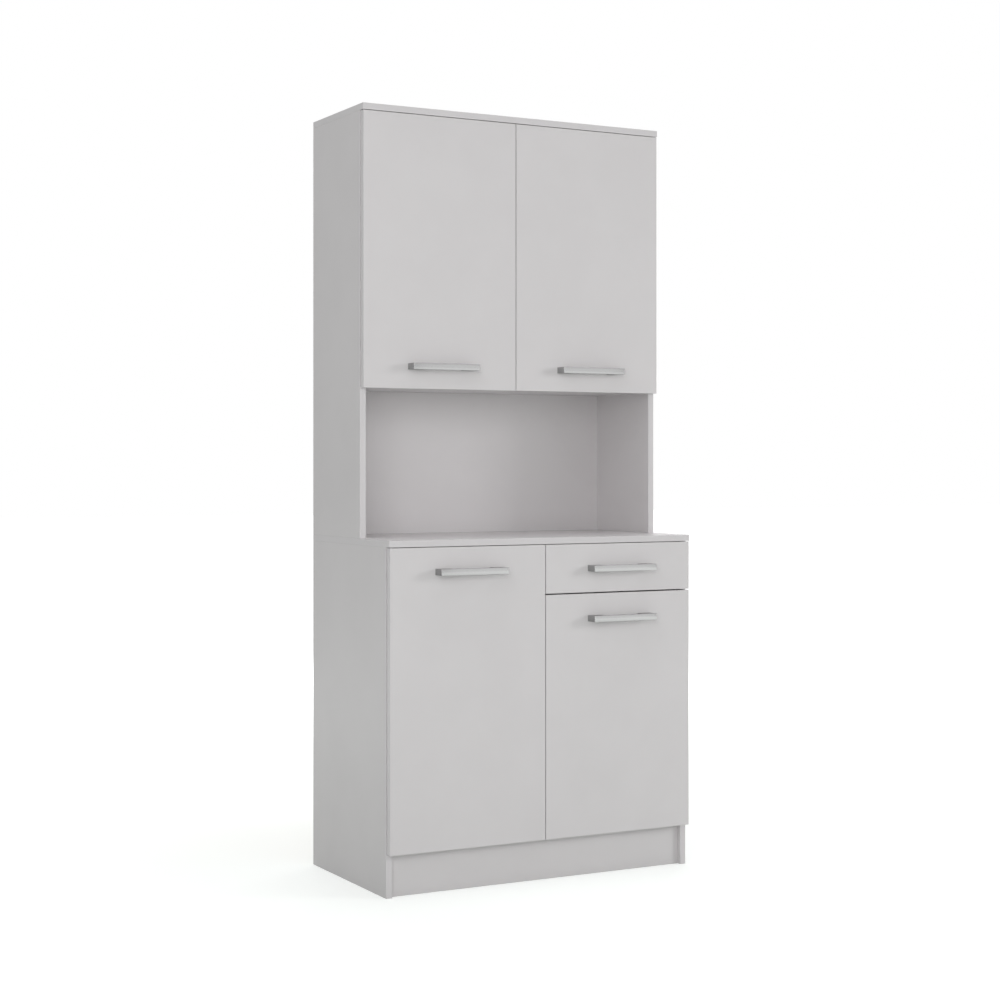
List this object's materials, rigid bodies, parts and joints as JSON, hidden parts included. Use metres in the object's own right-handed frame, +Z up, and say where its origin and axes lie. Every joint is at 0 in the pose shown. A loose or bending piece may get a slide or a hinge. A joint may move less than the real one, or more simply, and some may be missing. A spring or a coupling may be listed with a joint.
{
  "type": "kitchen cabinet with microwave niche",
  "caption": "Tall white kitchen cabinet: doors above and below an open microwave niche, a drawer under the worktop, bar handles.",
  "frame": {"origin": "on the floor, in the middle of the overall width and depth, handles included", "axes": "+X to the right seen from the front, +Y to the wall, +Z up"},
  "size_m": [0.8, 0.47, 1.8],
  "materials": {
    "white_board": "white melamine, satin",
    "hardboard": "white lacquered hardboard, brown behind",
    "handle_metal": "satin",
    "zinc": "zinc plated",
    "hinge_steel": "nickel plated, satin",
    "runner_steel": "zinc plated",
    "cage_plastic": "plain",
    "bumper": "clear soft",
    "beech": "raw"
  },
  "bodies": {
    "cabinet": {"lower_left_side": "white_board", "lower_right_side": "white_board", "lower_divider": "white_board", "lower_bottom": "white_board", "kick_board": "white_board", "worktop": "white_board", "lower_back": "hardboard", "left_shelf": "white_board", "right_shelf": "white_board", "upper_left_side": "white_board", "upper_right_side": "white_board", "upper_bottom": "white_board", "top_panel": "white_board", "upper_shelf": "white_board", "upper_back": "hardboard", "niche_back": "white_board", "shelf_pins": "zinc", "cam_locks": "zinc", "cam_bolts": "zinc", "dowels": "beech", "back_nails": "zinc", "wood_screws": "zinc", "wall_brackets": "hinge_steel", "door_bumpers": "bumper", "hinge_plates": "hinge_steel", "hinge_arms": "hinge_steel", "left_runner_outer": "runner_steel", "right_runner_outer": "runner_steel"},
    "upper_left_leaf": {"upper_left_door": "white_board", "upper_left_cups": "hinge_steel", "upper_left_handle": "handle_metal", "upper_left_screws": "zinc"},
    "upper_right_leaf": {"upper_right_door": "white_board", "upper_right_cups": "hinge_steel", "upper_right_handle": "handle_metal", "upper_right_screws": "zinc"},
    "lower_left_leaf": {"lower_left_door": "white_board", "lower_left_cups": "hinge_steel", "lower_left_handle": "handle_metal", "lower_left_screws": "zinc"},
    "lower_right_leaf": {"lower_right_door": "white_board", "lower_right_cups": "hinge_steel", "lower_right_handle": "handle_metal", "lower_right_screws": "zinc"},
    "drawer": {"left_runner_inner": "runner_steel", "right_runner_inner": "runner_steel", "drawer_front": "white_board", "drawer_left_side": "white_board", "drawer_right_side": "white_board", "drawer_back": "white_board", "drawer_bottom": "hardboard", "drawer_fixings": "zinc", "drawer_handle": "handle_metal", "drawer_handle_screws": "zinc"},
    "left_middle_member": {"left_runner_middle": "runner_steel", "left_ball_cages": "cage_plastic"},
    "right_middle_member": {"right_runner_middle": "runner_steel", "right_ball_cages": "cage_plastic"}
  },
  "joints": [
    {"name": "upper_left_hinge", "type": "hinge", "parent": "cabinet", "child": "upper_left_leaf", "pos_m": [-0.39151, -0.059, 1.465], "axis": [0, 0, -1], "range_deg": [0, 100]},
    {"name": "upper_right_hinge", "type": "hinge", "parent": "cabinet", "child": "upper_right_leaf", "pos_m": [0.39151, -0.059, 1.465], "axis": [0, 0, 1], "range_deg": [0, 100]},
    {"name": "lower_left_hinge", "type": "hinge", "parent": "cabinet", "child": "lower_left_leaf", "pos_m": [-0.39151, -0.202, 0.44075], "axis": [0, 0, -1], "range_deg": [0, 100]},
    {"name": "lower_right_hinge", "type": "hinge", "parent": "cabinet", "child": "lower_right_leaf", "pos_m": [0.39151, -0.202, 0.38225], "axis": [0, 0, 1], "range_deg": [0, 100]},
    {"name": "drawer_slide", "type": "slide", "parent": "cabinet", "child": "drawer", "axis": [0, -1, 0], "range_m": [0, 0.34]},
    {"name": "left_middle_slide", "type": "slide", "parent": "cabinet", "child": "left_middle_member", "axis": [0, -1, 0], "range_m": [0, 0.17]},
    {"name": "right_middle_slide", "type": "slide", "parent": "cabinet", "child": "right_middle_member", "axis": [0, -1, 0], "range_m": [0, 0.17]}
  ],
  "couplings": [
    {"joint": "left_middle_slide", "follows": "drawer_slide", "ratio": 0.5},
    {"joint": "right_middle_slide", "follows": "drawer_slide", "ratio": 0.5}
  ]
}
